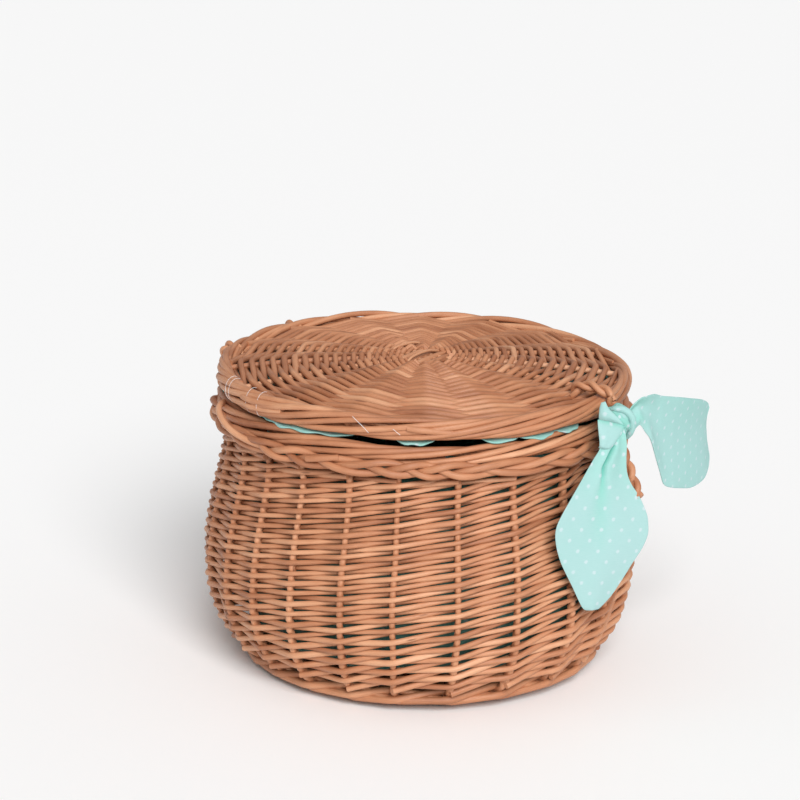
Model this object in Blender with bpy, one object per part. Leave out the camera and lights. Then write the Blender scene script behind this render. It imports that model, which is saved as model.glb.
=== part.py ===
"""Round lidded knitting basket of woven willow, with a cloth lining, a twisted clasp and a ribbon.

Metres, +Z up. The origin is the middle of the base's underside. The clasp faces -Y and the lid
hinges at +Y. Every stake, stick and woven rod is a solid of its own, laid over and under its
neighbours as a basket maker lays them.
"""

import math

import bmesh
import bpy
import numpy as np
from mathutils import Matrix, Vector

# Fit between neighbours
SEAT = 0.0003  # touching pieces
EASE = 0.0005  # a rod bent round another
CREST_EASE = 0.0009  # a rod bent over a stick's crest near the middle, where it bends most
TURN = 2 * math.pi

# Stakes: the uprights, and so the shape of the wall
STAKE_COUNT = 24
BELLY_RADIUS = 0.1326
STAKE_TOP = 0.1645
STAKE_BUTT = 0.0054
STAKE_TIP = 0.0048
# Radius as a share of BELLY_RADIUS, height as a share of STAKE_TOP, from the base up
WALL_SHARES = [
    (0.652, 0.0510),
    (0.724, 0.0560),
    (0.799, 0.0690),
    (0.867, 0.1155),
    (0.939, 0.2067),
    (0.992, 0.3280),
    (1.000, 0.4620),
    (0.980, 0.5960),
    (0.943, 0.7420),
    (0.916, 0.8630),
    (0.937, 0.9730),
    (0.940, 1.0000),
]
SLEWED_POINTS = 4  # wall points that the stouter upsett rods pass behind

# Base: three slit sticks, three sticks through them, one weaver
BASE_STICKS = 3
BASE_STICK_PITCH = 0.0070
BASE_STICK_BITE = 0.0003  # three sticks side by side are one solid
BASE_STICK_WIDTH = BASE_STICK_PITCH + BASE_STICK_BITE
BASE_STICK_HEIGHT = 0.0082
BASE_STICK_END = 0.0054
BASE_TENON = 0.0034
BASE_REACH = 0.0858
BASE_WEAVER = 0.0040
BASE_PITCH = 0.0049
BASE_START = 0.0268
BASE_OVER = 3  # over three sticks, under two
BASE_ROUND = 5
FOOT_CUT = 0.0004  # taken off the weaver where it rests on the floor
BASE_SWAY = BASE_STICK_END / 2 + CREST_EASE + BASE_WEAVER / 2
BASE_LEVEL = BASE_SWAY + BASE_WEAVER / 2 - FOOT_CUT
BASE_CROSS_LEVEL = BASE_STICK_HEIGHT / 2

# Upsett: four rounds of stout rod that turn the stakes up
UPSETT_ROD = 0.0050
UPSETT_PITCH = 0.0055
UPSETT_ROUNDS = 4
UPSETT_BEAT = 3  # in front of two stakes, behind one
UPSETT_LEAD = 0.0010

# Wall: two rods that chase each other round
WALL_ROD = 0.0048
WALL_PITCH = 0.0053

# Rim: a two-strand plait outside the stakes, three rods laid down over their tops
RIM_ROD = 0.0052
RIM_TOP_SHARE = 0.93  # rise of the top rod on the two below, as a share of the rod
PLAIT_ROD = 0.0038
PLAIT_TURNS = 8
PLAIT_STEPS = 8
RING_STEPS = 36

# Cloth lining of the basket
LINING = 0.0012
LINING_SEAM = 0.0030
LINING_STEPS = 30
LINING_TOP = 0.0060

# Lid: four slit sticks, four through them, two chasing weavers, three rods round the edge
LID_STICKS = 4
LID_STICK_WIDTH = 0.0062
LID_STICK_PITCH = 0.0066
LID_STICK_HEIGHT = 0.0064
LID_STICK_END = 0.0044
LID_TENON = 0.0026
LID_CROWN = 0.0050
LID_EDGE_RADIUS = 0.1299
LID_EDGE_ROD = 0.0048
LID_EDGE_PITCH = 0.0051
LID_START = 0.0262
LID_ROD_TIP = 0.0028
LID_ROD_BUTT = 0.0046
LID_ROD_LEAD = 0.0700  # radius where the weavers reach full thickness
LID_LEVEL_SHARES = (0.0, 0.354, 0.709, 1.0)  # where the crown bends, as shares of the sticks' reach

# Padded cloth under the lid
PAD_EDGE = 0.0027
PAD_STEPS = 48
PAD_PUCKER = 0.0009
PAD_WAIST_SHARES = (0.47, 0.92)

# Straps and clasp of twisted willow
STRAP_STRAND = 0.0032
STRAP_LAY = 0.0190
STRAP_SPREAD = 0.0340
STRAP_LAP = 0.0120
STRAP_TAIL = 0.0290
HASP_STRAND = 0.0036
HASP_LAY = 0.0200
HASP_LAP = 0.0145
HASP_DROP = 0.0560
HASP_STAND = 0.0186
LAY_STEPS = 7  # rings to one turn of a twisted bar
STAPLE_ROD = 0.0030
STAPLE_RADIUS = 0.0040
STAPLE_DROP = 0.0088  # below the plait
STAPLE_STEPS = 8

# Cotton ribbon tied on the clasp
RIBBON = 0.0012
KNOT_WIDTH = 0.0240
KNOT_DEPTH = 0.0180
KNOT_HEIGHT = 0.0240
KNOT_DROP = 0.0091
KNOT_ASIDE = 0.0050
KNOT_BORE = 0.0049
KNOT_FACETS = 2
DROP_TAIL = 0.1107
DROP_TAIL_WIDTH = 0.0670
DROP_TAIL_SLANT = 0.0220
DROP_TAIL_OUT = 0.0135
DROP_TAIL_ASKEW = 28  # degrees that the tail is turned from facing straight out
SIDE_TAIL = 0.0960
SIDE_TAIL_WIDTH = 0.0600
SIDE_TAIL_SAG = 0.0320
SIDE_TAIL_BOW = 0.0094
SIDE_TAIL_HEADING = -8  # degrees from +X
DROP_FOLD = 0.0014
SIDE_FOLD = 0.0030
TAIL_COLUMNS = 6
# Along each tail: its width, and how far its middle strays or stands out, as shares of the greatest
DROP_WIDTH_SHARES = (0.19, 0.42, 0.75, 1.00, 0.86, 0.52, 0.12)
DROP_SLANT_SHARES = (0.36, 0.75, 0.77, 0.81, 0.92, 0.95, 1.00)
DROP_OUT_SHARES = (0.35, 1.00, 1.00, 1.00, 1.00, 1.00, 1.00)
SIDE_WIDTH_SHARES = (0.20, 0.53, 0.97, 1.00, 0.98, 0.92, 0.66)
SIDE_SAG_SHARES = (-0.06, 0.05, 0.62, 0.74, 0.88, 0.98, 1.00)
SIDE_BOW_SHARES = (0.30, 0.97, 1.00, 0.86, 0.63, 0.26, -0.24)


# Finishes
def finish(name, colour, roughness):
    material = bpy.data.materials.new(name)
    material.use_nodes = True
    shader = material.node_tree.nodes["Principled BSDF"]
    shader.inputs["Base Color"].default_value = (*colour, 1)
    shader.inputs["Roughness"].default_value = roughness
    shader.inputs["Metallic"].default_value = 0
    material.diffuse_color = (*colour, 1)
    return material


def clear_scene():
    for thing in list(bpy.data.objects):
        bpy.data.objects.remove(thing, do_unlink=True)


# Makers shared by the pieces
def add_object(name, data, material):
    thing = bpy.data.objects.new(name, data)
    bpy.context.scene.collection.objects.link(thing)
    if material and not data.materials:
        data.materials.append(material)
    return thing


def as_guide(thing):
    """A cutter or an operand: out of the render, drawn as wire."""
    thing.hide_render = True
    thing.display_type = "WIRE"
    return thing


def rod_curve(name, points, closed=False, upright=True, corners=0):
    """A rod of four faces, and two more for each of corners: points are (place, diameter)."""
    widest = max(diameter for _, diameter in points)
    curve = bpy.data.curves.new(name, "CURVE")
    curve.dimensions = "3D"
    curve.bevel_depth = widest / 2
    curve.bevel_resolution = corners
    curve.use_fill_caps = True
    curve.twist_mode = "Z_UP" if upright else "MINIMUM"
    spline = curve.splines.new("POLY")
    spline.points.add(len(points) - 1)
    for point, (place, diameter) in zip(spline.points, points):
        point.co = (*place, 1)
        point.radius = diameter / widest
    spline.use_cyclic_u = closed
    return curve


def rod(name, points, material, closed=False, corners=0):
    return add_object(name, rod_curve(name, points, closed, corners=corners), material)


def mesh_object(name, shape, material, smooth_angle=40):
    bmesh.ops.recalc_face_normals(shape, faces=shape.faces)
    mesh = bpy.data.meshes.new(name)
    shape.to_mesh(mesh)
    shape.free()
    mesh.shade_smooth()
    mesh.set_sharp_from_angle(angle=math.radians(smooth_angle))
    return add_object(name, mesh, material)


def loft(name, rings, material):
    """A closed skin through rings of as many points each."""
    shape = bmesh.new()
    loops = [[shape.verts.new(place) for place in ring] for ring in rings]
    for low, high in zip(loops, loops[1:]):
        for i in range(len(low)):
            j = (i + 1) % len(low)
            shape.faces.new((low[i], low[j], high[j], high[i]))
    shape.faces.new(loops[0])
    shape.faces.new(loops[-1])
    return mesh_object(name, shape, material)


def turned(name, profile, steps, material, smooth_angle=40):
    """A (radius, height) profile that starts and ends on the axis, spun round it."""
    shape = bmesh.new()
    corners = [shape.verts.new((radius, 0, height)) for radius, height in profile]
    edges = [shape.edges.new(pair) for pair in zip(corners, corners[1:])]
    bmesh.ops.spin(
        shape, geom=edges + corners, axis=(0, 0, 1), cent=(0, 0, 0), angle=TURN, steps=steps, use_merge=True
    )
    bmesh.ops.remove_doubles(shape, verts=shape.verts, dist=SEAT / 100)
    return mesh_object(name, shape, material, smooth_angle)


def boolean(thing, operand, operation):
    cut = thing.modifiers.new(operand.name, "BOOLEAN")
    cut.operation = operation
    cut.solver = "EXACT"
    cut.object = operand


def block(name, size, centre):
    shape = bmesh.new()
    bmesh.ops.create_cube(shape, size=1)
    bmesh.ops.scale(shape, verts=shape.verts, vec=size)
    bmesh.ops.translate(shape, verts=shape.verts, vec=centre)
    return as_guide(mesh_object(name, shape, None))


def round_axis(radius, angle, height):
    return Vector((radius * math.cos(angle), radius * math.sin(angle), height))


# The wall as one bent line, which the stakes follow and everything else is offset from
WALL = [Vector((radius * BELLY_RADIUS, height * STAKE_TOP)) for radius, height in WALL_SHARES]
WALL_ARC = np.concatenate([[0], np.cumsum([(b - a).length for a, b in zip(WALL, WALL[1:])])])


def outward(start, end):
    along = (end - start).normalized()
    return Vector((along.y, -along.x))


def mitred_normals():
    """At each wall point, the step that keeps an offset line parallel to both its neighbours."""
    legs = [outward(a, b) for a, b in zip(WALL, WALL[1:])]
    normals = [legs[0]]
    for low, high in zip(legs, legs[1:]):
        middle = (low + high).normalized()
        normals.append(middle / middle.dot(high))
    return normals + [legs[-1]]


WALL_OUT = mitred_normals()


def wall_at(arc, offset=0):
    """Radius and height at an arc length up the wall, offset outwards."""
    columns = [[place.x + offset * out.x, place.y + offset * out.y] for place, out in zip(WALL, WALL_OUT)]
    return [float(np.interp(arc, WALL_ARC, column)) for column in zip(*columns)]


def arc_at_height(height):
    return float(np.interp(height, [place.y for place in WALL], WALL_ARC))


def stake_thickness(arc):
    return float(np.interp(arc, [0, WALL_ARC[-1]], [STAKE_BUTT, STAKE_TIP]))


def stake_angle(index):
    return TURN * (index + 0.5) / STAKE_COUNT - math.pi / 2


# Stakes
def make_stakes(material):
    points = [((place.x, 0, place.y), stake_thickness(arc)) for place, arc in zip(WALL, WALL_ARC)]
    curve = rod_curve("stake", points, upright=False)
    for index in range(STAKE_COUNT):
        stake = add_object(f"stake_{index + 1:02d}", curve, material)
        stake.rotation_euler.z = stake_angle(index)


# Rods woven in and out of the stakes
def beside_stake(index, arc, side, thickness):
    offset = side * (stake_thickness(arc) / 2 + SEAT + thickness / 2)
    radius, height = wall_at(arc, offset)
    return round_axis(radius, stake_angle(index), height), thickness


UPSETT_FROM = WALL_ARC[1] + UPSETT_LEAD
UPSETT_TO = UPSETT_FROM + UPSETT_ROUNDS * UPSETT_PITCH
PLAIT_LAY = (PLAIT_ROD / 2 + SEAT) / math.cos(math.pi / PLAIT_STEPS)
PLAIT_HALF = PLAIT_LAY + PLAIT_ROD / 2
PLAIT_HEIGHT = STAKE_TOP - STAKE_TIP / 2
PLAIT_RADIUS = wall_at(arc_at_height(PLAIT_HEIGHT))[0] + STAKE_TIP / 2 + SEAT + PLAIT_HALF
PLAIT_OUTER = PLAIT_RADIUS + PLAIT_HALF


def make_upsett(material):
    steps = UPSETT_ROUNDS * STAKE_COUNT
    points = []
    for step in range(steps + 1):
        arc = UPSETT_FROM + UPSETT_PITCH * step / STAKE_COUNT
        behind = (step - step // STAKE_COUNT) % UPSETT_BEAT == 0
        points.append(beside_stake(step, arc, -1 if behind else 1, UPSETT_ROD))
    rod("upsett_wale", points, material)


def make_wall_weavers(material):
    first = UPSETT_TO + (UPSETT_ROD + WALL_ROD) / 2 + SEAT
    last = arc_at_height(PLAIT_HEIGHT - PLAIT_HALF - SEAT - WALL_ROD / 2)
    climb = 2 * WALL_PITCH / STAKE_COUNT
    for name, start, side in (("wall_weaver_a", 0, 1), ("wall_weaver_b", STAKE_COUNT // 2, -1)):
        points = []
        for step in range(int((last - first) / climb) + 1):
            index = start + step
            front = side if index % 2 == 0 else -side
            points.append(beside_stake(index, first + climb * step, front, WALL_ROD))
        rod(name, points, material)


# Rim
def ring_points(radius, height, thickness, steps=RING_STEPS):
    return [(round_axis(radius, TURN * step / steps, height), thickness) for step in range(steps)]


RIM_SEAT = STAKE_TOP + SEAT + RIM_ROD / 2
RIM_RADIUS = WALL[-1].x
RIM_TOP = RIM_SEAT + RIM_TOP_SHARE * RIM_ROD + SEAT


def make_rim(rod_material, plait_material):
    steps = PLAIT_TURNS * PLAIT_STEPS
    for strand, name in enumerate(("border_plait_a", "border_plait_b")):
        points = []
        for step in range(steps):
            lay = TURN * (step / PLAIT_STEPS + strand / 2)
            out = PLAIT_LAY * math.cos(lay)
            up = PLAIT_LAY * math.sin(lay)
            place = round_axis(PLAIT_RADIUS + out, TURN * step / steps, PLAIT_HEIGHT + up)
            points.append((place, PLAIT_ROD))
        rod(name, points, plait_material, closed=True)
    half = (RIM_ROD + EASE) / 2
    for name, radius, height in (
        ("rim_rod_top", RIM_RADIUS, RIM_TOP),
        ("rim_rod_outer", RIM_RADIUS + half, RIM_SEAT),
        ("rim_rod_inner", RIM_RADIUS - half, RIM_SEAT),
    ):
        rod(name, ring_points(radius, height, RIM_ROD), rod_material, closed=True, corners=1)


# Sticks of the base and the lid
def stick_section(centre, heading, width, height, crest):
    """Six corners across a stick: two at its sides, two on its top, two underneath."""
    side = Vector((-heading.y, heading.x, 0))
    up = Vector((0, 0, 1))
    corners = ((width / 2, 0), (crest, height / 2), (-crest, height / 2))
    corners += ((-width / 2, 0), (-crest, -height / 2), (crest, -height / 2))
    return [centre + side * across + up * rise for across, rise in corners]


def make_stick(name, stations, turn, material):
    """Stations are (x, y, z, width, height, crest); turn swings the stick about the axis."""
    places = [Vector(station[:3]) for station in stations]
    rings = []
    for index, station in enumerate(stations):
        before = places[max(index - 1, 0)]
        after = places[min(index + 1, len(places) - 1)]
        heading = (after - before) * Vector((1, 1, 0))
        rings.append(stick_section(places[index], heading.normalized(), *station[3:]))
    spin = Matrix.Rotation(turn, 3, "Z")
    return loft(name, [[spin @ place for place in ring] for ring in rings], material)


def stick_stations(index, count, pitch, cross, halves):
    """One stick from tip to tip. cross is (half length, width, height); halves is the run from the
    cross outwards, as (reach along the spoke, level, width, height)."""
    offset = (index - (count - 1) / 2) * pitch
    angle = (index - (count - 1) / 2) * math.pi / (2 * count)
    half_length, width, height, level = cross
    inner = [(half_length, offset, level, width, height, width / 4)]
    outer = []
    for reach, rise, wide, tall in halves:
        place = round_axis(reach, angle, rise)
        outer.append((*place, wide, tall, wide / 16))
    right = inner + outer
    left = [(-x, y, z, w, h, c) for x, y, z, w, h, c in reversed(right)]
    return left + right


# Base
def make_base(stick_material, weaver_material):
    half = BASE_STICKS * BASE_STICK_PITCH / 2 + EASE
    cross_slit = (half + EASE, BASE_STICK_WIDTH, BASE_STICK_HEIGHT, BASE_CROSS_LEVEL)
    cross_tenon = (half + EASE, BASE_STICK_WIDTH, BASE_TENON, BASE_CROSS_LEVEL)
    run = [
        (BASE_START - BASE_WEAVER, BASE_LEVEL, BASE_STICK_END, BASE_STICK_END),
        (BASE_REACH, BASE_LEVEL, BASE_STICK_END, BASE_STICK_END),
    ]
    slot_height = BASE_TENON + 2 * SEAT
    slot = block(
        "cut_base_slit", (2 * half, 2 * half + BASE_REACH, slot_height), (0, 0, BASE_CROSS_LEVEL)
    )
    groups = (("base_slit_sticks", cross_slit, 0), ("base_through_sticks", cross_tenon, math.pi / 2))
    for name, cross, turn in groups:
        sticks = []
        for index in range(BASE_STICKS):
            stations = stick_stations(index, BASE_STICKS, BASE_STICK_PITCH, cross, run)
            label = name if index == 0 else f"{name}_operand_{index + 1}"
            sticks.append(make_stick(label, stations, turn, stick_material))
        for operand in sticks[1:]:
            boolean(sticks[0], as_guide(operand), "UNION")
        if cross is cross_slit:
            boolean(sticks[0], slot, "DIFFERENCE")
    make_base_weaver(weaver_material)


def make_base_weaver(material):
    spokes = 4 * BASE_STICKS
    last = BASE_REACH - BASE_WEAVER / 2
    steps = int((last - BASE_START) / BASE_PITCH * spokes)
    points = []
    for step in range(steps + 1):
        over = step % BASE_ROUND < BASE_OVER
        height = BASE_LEVEL + (BASE_SWAY if over else -BASE_SWAY)
        radius = BASE_START + BASE_PITCH * step / spokes
        points.append((round_axis(radius, TURN * step / spokes, height), BASE_WEAVER))
    blank = as_guide(rod("base_weaver_blank", points, material))
    graph = bpy.context.evaluated_depsgraph_get()
    shape = bmesh.new()
    shape.from_mesh(blank.evaluated_get(graph).to_mesh())
    bmesh.ops.remove_doubles(shape, verts=shape.verts, dist=SEAT / 100)
    everything = shape.verts[:] + shape.edges[:] + shape.faces[:]
    bmesh.ops.bisect_plane(
        shape, geom=everything, plane_co=(0, 0, 0), plane_no=(0, 0, -1), clear_outer=True
    )
    bmesh.ops.holes_fill(shape, edges=[edge for edge in shape.edges if edge.is_boundary])
    mesh_object("base_weaver", shape, material)


# Lining of the basket: a cup that follows the woven wall on the inside
def lining_offset(index):
    stout = UPSETT_ROD if index < SLEWED_POINTS else WALL_ROD
    return -(stake_thickness(WALL_ARC[index]) / 2 + SEAT + stout + SEAT)


def make_lining(material):
    floor = BASE_LEVEL + BASE_SWAY + BASE_WEAVER / 2 + SEAT
    first = 1
    top = LINING_TOP
    outside = [(0, floor), (BASE_REACH, floor)]
    inside = [(0, floor + LINING), (BASE_REACH - LINING, floor + LINING)]
    for index in range(first, len(WALL) - 1):
        place = WALL[index]
        out = WALL_OUT[index]
        outside.append(tuple(place + out * lining_offset(index)))
        inside.append(tuple(place + out * (lining_offset(index) - LINING)))
    outside.append((outside[-1][0], STAKE_TOP + top))
    inside.append((outside[-1][0] - LINING, STAKE_TOP + top))
    turned("basket_lining", outside + inside[::-1], LINING_STEPS, material)


# Lid
LID_REACH = LID_EDGE_RADIUS * math.cos(math.pi / RING_STEPS) - LID_EDGE_ROD / 2 - SEAT
PAD_BOTTOM = RIM_TOP + RIM_ROD / 2 + SEAT
PAD_TOP = PAD_BOTTOM + PAD_EDGE
EDGE_LOW = PAD_TOP + SEAT + LID_EDGE_ROD / 2
LID_RIM_LEVEL = EDGE_LOW + LID_EDGE_PITCH
LID_BENDS = [share * LID_REACH for share in LID_LEVEL_SHARES]
LID_LEVELS = [LID_RIM_LEVEL + LID_CROWN * (1 - share**2) for share in LID_LEVEL_SHARES]


def lid_level(radius):
    return float(np.interp(radius, LID_BENDS, LID_LEVELS))


def lid_stick_height(radius):
    heights = [LID_STICK_HEIGHT, LID_ROD_BUTT, LID_STICK_END]
    return float(np.interp(radius, [0, LID_BENDS[1], LID_REACH], heights))


def lid_rod(radius):
    return float(np.interp(radius, [LID_START, LID_ROD_LEAD], [LID_ROD_TIP, LID_ROD_BUTT]))


def make_lid_sticks(material):
    half = LID_STICKS * LID_STICK_PITCH / 2 + EASE
    level = lid_level(0)
    cross_slit = (half + EASE, LID_STICK_WIDTH, LID_STICK_HEIGHT, level)
    cross_tenon = (half + EASE, LID_STICK_WIDTH, LID_TENON, level)
    reaches = [LID_START - LID_ROD_TIP, LID_BENDS[1], LID_BENDS[2], LID_REACH]
    run = []
    for reach in reaches:
        tall = lid_stick_height(reach)
        run.append((reach, lid_level(reach), LID_STICK_END, tall))
    slot_height = LID_TENON + 2 * SEAT
    slot = block("cut_lid_slit", (2 * half, 2 * LID_REACH, slot_height), (0, 0, level))
    for index in range(LID_STICKS):
        stations = stick_stations(index, LID_STICKS, LID_STICK_PITCH, cross_slit, run)
        stick = make_stick(f"lid_slit_stick_{index + 1}", stations, 0, material)
        boolean(stick, slot, "DIFFERENCE")
        stations = stick_stations(index, LID_STICKS, LID_STICK_PITCH, cross_tenon, run)
        make_stick(f"lid_through_stick_{index + 1}", stations, math.pi / 2, material)


def make_lid_weavers(material):
    spokes = 4 * LID_STICKS
    last = LID_EDGE_RADIUS - (LID_EDGE_ROD + LID_ROD_BUTT) / 2 - SEAT
    for name, start, side in (("lid_weaver_a", 0, 1), ("lid_weaver_b", spokes // 2, -1)):
        radius = LID_START
        step = start
        points = []
        while radius <= last:
            thickness = lid_rod(radius)
            over = side if step % 2 == 0 else -side
            offset = over * (lid_stick_height(radius) / 2 + CREST_EASE + thickness / 2)
            angle = TURN * (step + 0.5) / spokes
            points.append((round_axis(radius, angle, lid_level(radius) + offset), thickness))
            radius += 2 * (thickness + 2 * EASE) / spokes
            step += 1
        rod(name, points, material)


def make_lid_edge(material):
    for index, name in enumerate(("lid_border_rod_lower", "lid_border_rod_middle", "lid_border_rod_upper")):
        height = EDGE_LOW + index * LID_EDGE_PITCH
        rod(name, ring_points(LID_EDGE_RADIUS, height, LID_EDGE_ROD), material, closed=True)


def make_lid_pad(material):
    under_weave = lid_rod(LID_REACH) + CREST_EASE + SEAT
    top = []
    for share in (0, *PAD_WAIST_SHARES):
        radius = share * LID_REACH
        height = lid_level(radius) - lid_stick_height(radius) / 2 - under_weave - SEAT
        top.append((radius, max(height, PAD_TOP)))
    top.append((LID_EDGE_RADIUS, PAD_TOP))
    bottom = [(radius, height - PAD_EDGE) for radius, height in reversed(top)]
    pad = turned("lid_lining", top + bottom, PAD_STEPS, material, smooth_angle=60)
    for point in pad.data.vertices:
        reach = Vector(point.co.xy).length
        if reach > LID_REACH:
            step = round(math.atan2(point.co.y, point.co.x) / TURN * PAD_STEPS)
            pucker = PAD_PUCKER * (-1) ** step
            point.co.x *= 1 + pucker / reach
            point.co.y *= 1 + pucker / reach


# Twisted willow bars: two strands laid round each other along a path in the plane x = constant
STRAND_SHARES = (
    (2.0, 0.0),
    (1.0, 1.0),
    (0.0, 0.45),
    (-1.0, 1.0),
    (-2.0, 0.0),
    (-1.0, -1.0),
    (0.0, -0.45),
    (1.0, -1.0),
)


def along_path(path, spacing):
    """Evenly spaced places on a bent line, with the direction at each."""
    arcs = np.concatenate([[0], np.cumsum([(b - a).length for a, b in zip(path, path[1:])])])
    count = max(round(arcs[-1] / spacing), 2)
    columns = list(zip(*path))
    places = []
    for arc in np.linspace(0, arcs[-1], count + 1):
        places.append(Vector([float(np.interp(arc, arcs, column)) for column in columns]))
    headings = []
    for index in range(len(places)):
        after = places[min(index + 1, count)]
        before = places[max(index - 1, 0)]
        headings.append((after - before).normalized())
    return places, headings


def twisted_bar(name, path, strand, lay, material):
    places, headings = along_path(path, lay / LAY_STEPS)
    across = Vector((1, 0, 0))
    rings = []
    for index, (place, heading) in enumerate(zip(places, headings)):
        normal = heading.cross(across).normalized()
        turn = TURN * index / LAY_STEPS
        ring = []
        for u, v in STRAND_SHARES:
            side = (u * math.cos(turn) - v * math.sin(turn)) * strand / 2
            rise = (u * math.sin(turn) + v * math.cos(turn)) * strand / 2
            ring.append(place + across * side + normal * rise)
        rings.append(ring)
    return loft(name, rings, material)


# Straps that hinge the lid at the back
EDGE_TOP = EDGE_LOW + 2 * LID_EDGE_PITCH + LID_EDGE_ROD / 2
LID_OUTER = LID_EDGE_RADIUS + LID_EDGE_ROD / 2
HINGE_LEVEL = PAD_BOTTOM - SEAT


def across_chord(radius, spread):
    """How far back a circle lies where it is crossed at x = spread."""
    return math.sqrt(radius**2 - spread**2)


LID_BACK = across_chord(LID_OUTER, STRAP_SPREAD)
# The straps clear the plait, or the lid where that is the wider of the two
STRAP_LINE = max(PLAIT_OUTER + SEAT - STRAP_STRAND, LID_BACK + STRAP_STRAND + EASE)
STRAP_TOP = EDGE_TOP + SEAT + STRAP_STRAND


def make_straps(lid_material, basket_material):
    plait_back = across_chord(PLAIT_OUTER, STRAP_SPREAD) + STRAP_STRAND + SEAT
    tail_radius, tail_height = wall_at(arc_at_height(STAKE_TOP - STRAP_TAIL), STAKE_TIP / 2 + WALL_ROD)
    tail_back = across_chord(tail_radius, STRAP_SPREAD) + STRAP_STRAND + EASE
    for name, x in (("left", -STRAP_SPREAD), ("right", STRAP_SPREAD)):
        upper = [
            Vector((x, LID_BACK - STRAP_LAP, STRAP_TOP)),
            Vector((x, LID_BACK - STRAP_STRAND, STRAP_TOP)),
            Vector((x, STRAP_LINE - STRAP_STRAND / 2, EDGE_TOP)),
            Vector((x, STRAP_LINE, EDGE_TOP - STRAP_STRAND)),
            Vector((x, STRAP_LINE, HINGE_LEVEL + SEAT)),
        ]
        lower = [
            Vector((x, STRAP_LINE, HINGE_LEVEL - SEAT)),
            Vector((x, max(plait_back, STRAP_LINE), PLAIT_HEIGHT + PLAIT_HALF)),
            Vector((x, plait_back, PLAIT_HEIGHT - PLAIT_HALF / 2)),
            Vector((x, tail_back, tail_height)),
        ]
        twisted_bar(f"hinge_strap_{name}_upper", upper, STRAP_STRAND, STRAP_LAY, lid_material)
        twisted_bar(f"hinge_strap_{name}_lower", lower, STRAP_STRAND, STRAP_LAY, basket_material)


# Clasp: an anchor laced over the lid's edge, and the hasp that swings from it
HASP_TOP = EDGE_TOP + SEAT + HASP_STRAND
# The hasp hangs clear of the lid, or of the belly where that is the wider of the two
HASP_LINE = max(LID_OUTER + EASE, BELLY_RADIUS) + HASP_STRAND
HASP_PIVOT_LEVEL = EDGE_TOP - HASP_STRAND
# Run of the hasp: how far out and how far down, as shares of its stand-off and its drop
HASP_SHARES = [
    (0, 0),
    (0.02, 0.055),
    (0.38, 0.15),
    (0.73, 0.28),
    (0.95, 0.42),
    (1, 0.55),
    (1, 0.8),
    (0.98, 1),
]


def hasp_path():
    path = []
    for out, down in HASP_SHARES:
        back = HASP_LINE + out * HASP_STAND
        path.append(Vector((0, -back, HASP_PIVOT_LEVEL - SEAT - down * HASP_DROP)))
    return path


def make_clasp(material):
    anchor = [
        Vector((0, -(LID_OUTER - HASP_LAP), HASP_TOP)),
        Vector((0, -(LID_OUTER - HASP_STRAND), HASP_TOP)),
        Vector((0, -(HASP_LINE - HASP_STRAND / 2), EDGE_TOP + HASP_STRAND / 2)),
        Vector((0, -HASP_LINE, HASP_PIVOT_LEVEL + SEAT)),
    ]
    twisted_bar("hasp_anchor", anchor, HASP_STRAND, HASP_LAY, material)
    twisted_bar("hasp", hasp_path(), HASP_STRAND, HASP_LAY, material)


STAPLE_HEIGHT = PLAIT_HEIGHT - PLAIT_HALF - STAPLE_DROP


def make_staple(material):
    """The small loop under the plait that the ribbon is tied through."""
    surface = wall_at(arc_at_height(STAPLE_HEIGHT))[0] * math.cos(math.pi / STAKE_COUNT)
    foot = surface + WALL_ROD / 2 + EASE
    centre = PLAIT_RADIUS
    points = [((-STAPLE_RADIUS, -foot, STAPLE_HEIGHT), STAPLE_ROD)]
    for step in range(STAPLE_STEPS + 1):
        angle = math.pi * (1 + step / STAPLE_STEPS)
        arc = round_axis(STAPLE_RADIUS, angle, STAPLE_HEIGHT)
        points.append((arc - Vector((0, centre, 0)), STAPLE_ROD))
    points.append(((STAPLE_RADIUS, -foot, STAPLE_HEIGHT), STAPLE_ROD))
    rod("hasp_staple", points, material)


# Ribbon: a knot round the hasp and two hanging tails, one piece of cloth
def tail_sheet(name, places, widths, across, normal, fold, material):
    """A pleated strip through places, square to across, thickened to cloth."""
    shape = bmesh.new()
    rows = []
    last = len(places) - 1
    for row, (place, width) in enumerate(zip(places, widths)):
        depth = fold * min(1, 2 * row / last)
        corners = []
        for column in range(TAIL_COLUMNS + 1):
            share = column / TAIL_COLUMNS
            ripple = depth * math.cos(TURN * 3 / 2 * share)
            corner = place + across * (share - 1 / 2) * width + normal * ripple
            corners.append(shape.verts.new(corner))
        rows.append(corners)
    for low, high in zip(rows, rows[1:]):
        for i in range(TAIL_COLUMNS):
            shape.faces.new((low[i], low[i + 1], high[i + 1], high[i]))
    sheet = mesh_object(name, shape, material, smooth_angle=60)
    cloth = sheet.modifiers.new("cloth", "SOLIDIFY")
    cloth.thickness = RIBBON
    cloth.offset = 0
    return as_guide(sheet)


def knot_seat():
    """Where the hasp runs through the knot, and the way it heads there."""
    path = hasp_path()
    level = HASP_PIVOT_LEVEL - KNOT_DROP
    low = next(index for index, place in enumerate(path) if place.z < level)
    leg = path[low] - path[low - 1]
    return path[low - 1] + leg * ((level - path[low - 1].z) / leg.z), leg.normalized()


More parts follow.
